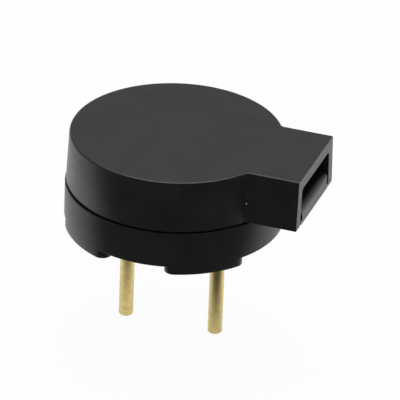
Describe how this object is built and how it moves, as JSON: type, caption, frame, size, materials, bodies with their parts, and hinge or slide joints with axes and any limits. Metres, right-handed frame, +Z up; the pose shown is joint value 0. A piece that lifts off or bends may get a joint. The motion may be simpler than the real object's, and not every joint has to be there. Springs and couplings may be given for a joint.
{
  "type": "magnetic buzzer",
  "caption": "Round two-pin magnetic buzzer with a rectangular side sound port, in a two-shell plastic case on small feet.",
  "frame": {"origin": "centre of the pin pattern on the body's axis, in the plane of the feet, which is the top face of the circuit board", "axes": "+Z up through the cap, +X out of the sound port's mouth, the pins on the X axis pointing along -Z"},
  "size_m": [0.014, 0.012, 0.0119],
  "materials": {
    "case": "black moulded, fine matte",
    "pin": "dull brass",
    "steel": "thin rolled sheet",
    "iron": "plated soft iron",
    "ferrite": "ground ferrite",
    "copper": "enamelled copper wire",
    "board": "paper laminate",
    "solder": "smooth solder",
    "adhesive": "cured resin"
  },
  "bodies": {
    "root": {"cap": "case", "base": "case", "diaphragm": "steel", "armature_disc": "iron", "ring_magnet": "ferrite", "coil": "copper", "core": "iron", "yoke_plate": "iron", "terminal_board": "board", "board_adhesive": "adhesive", "pin_front": "pin", "pin_rear": "pin", "solder_front": "solder", "solder_rear": "solder", "coil_lead_front": "copper", "coil_lead_rear": "copper"}
  },
  "joints": []
}
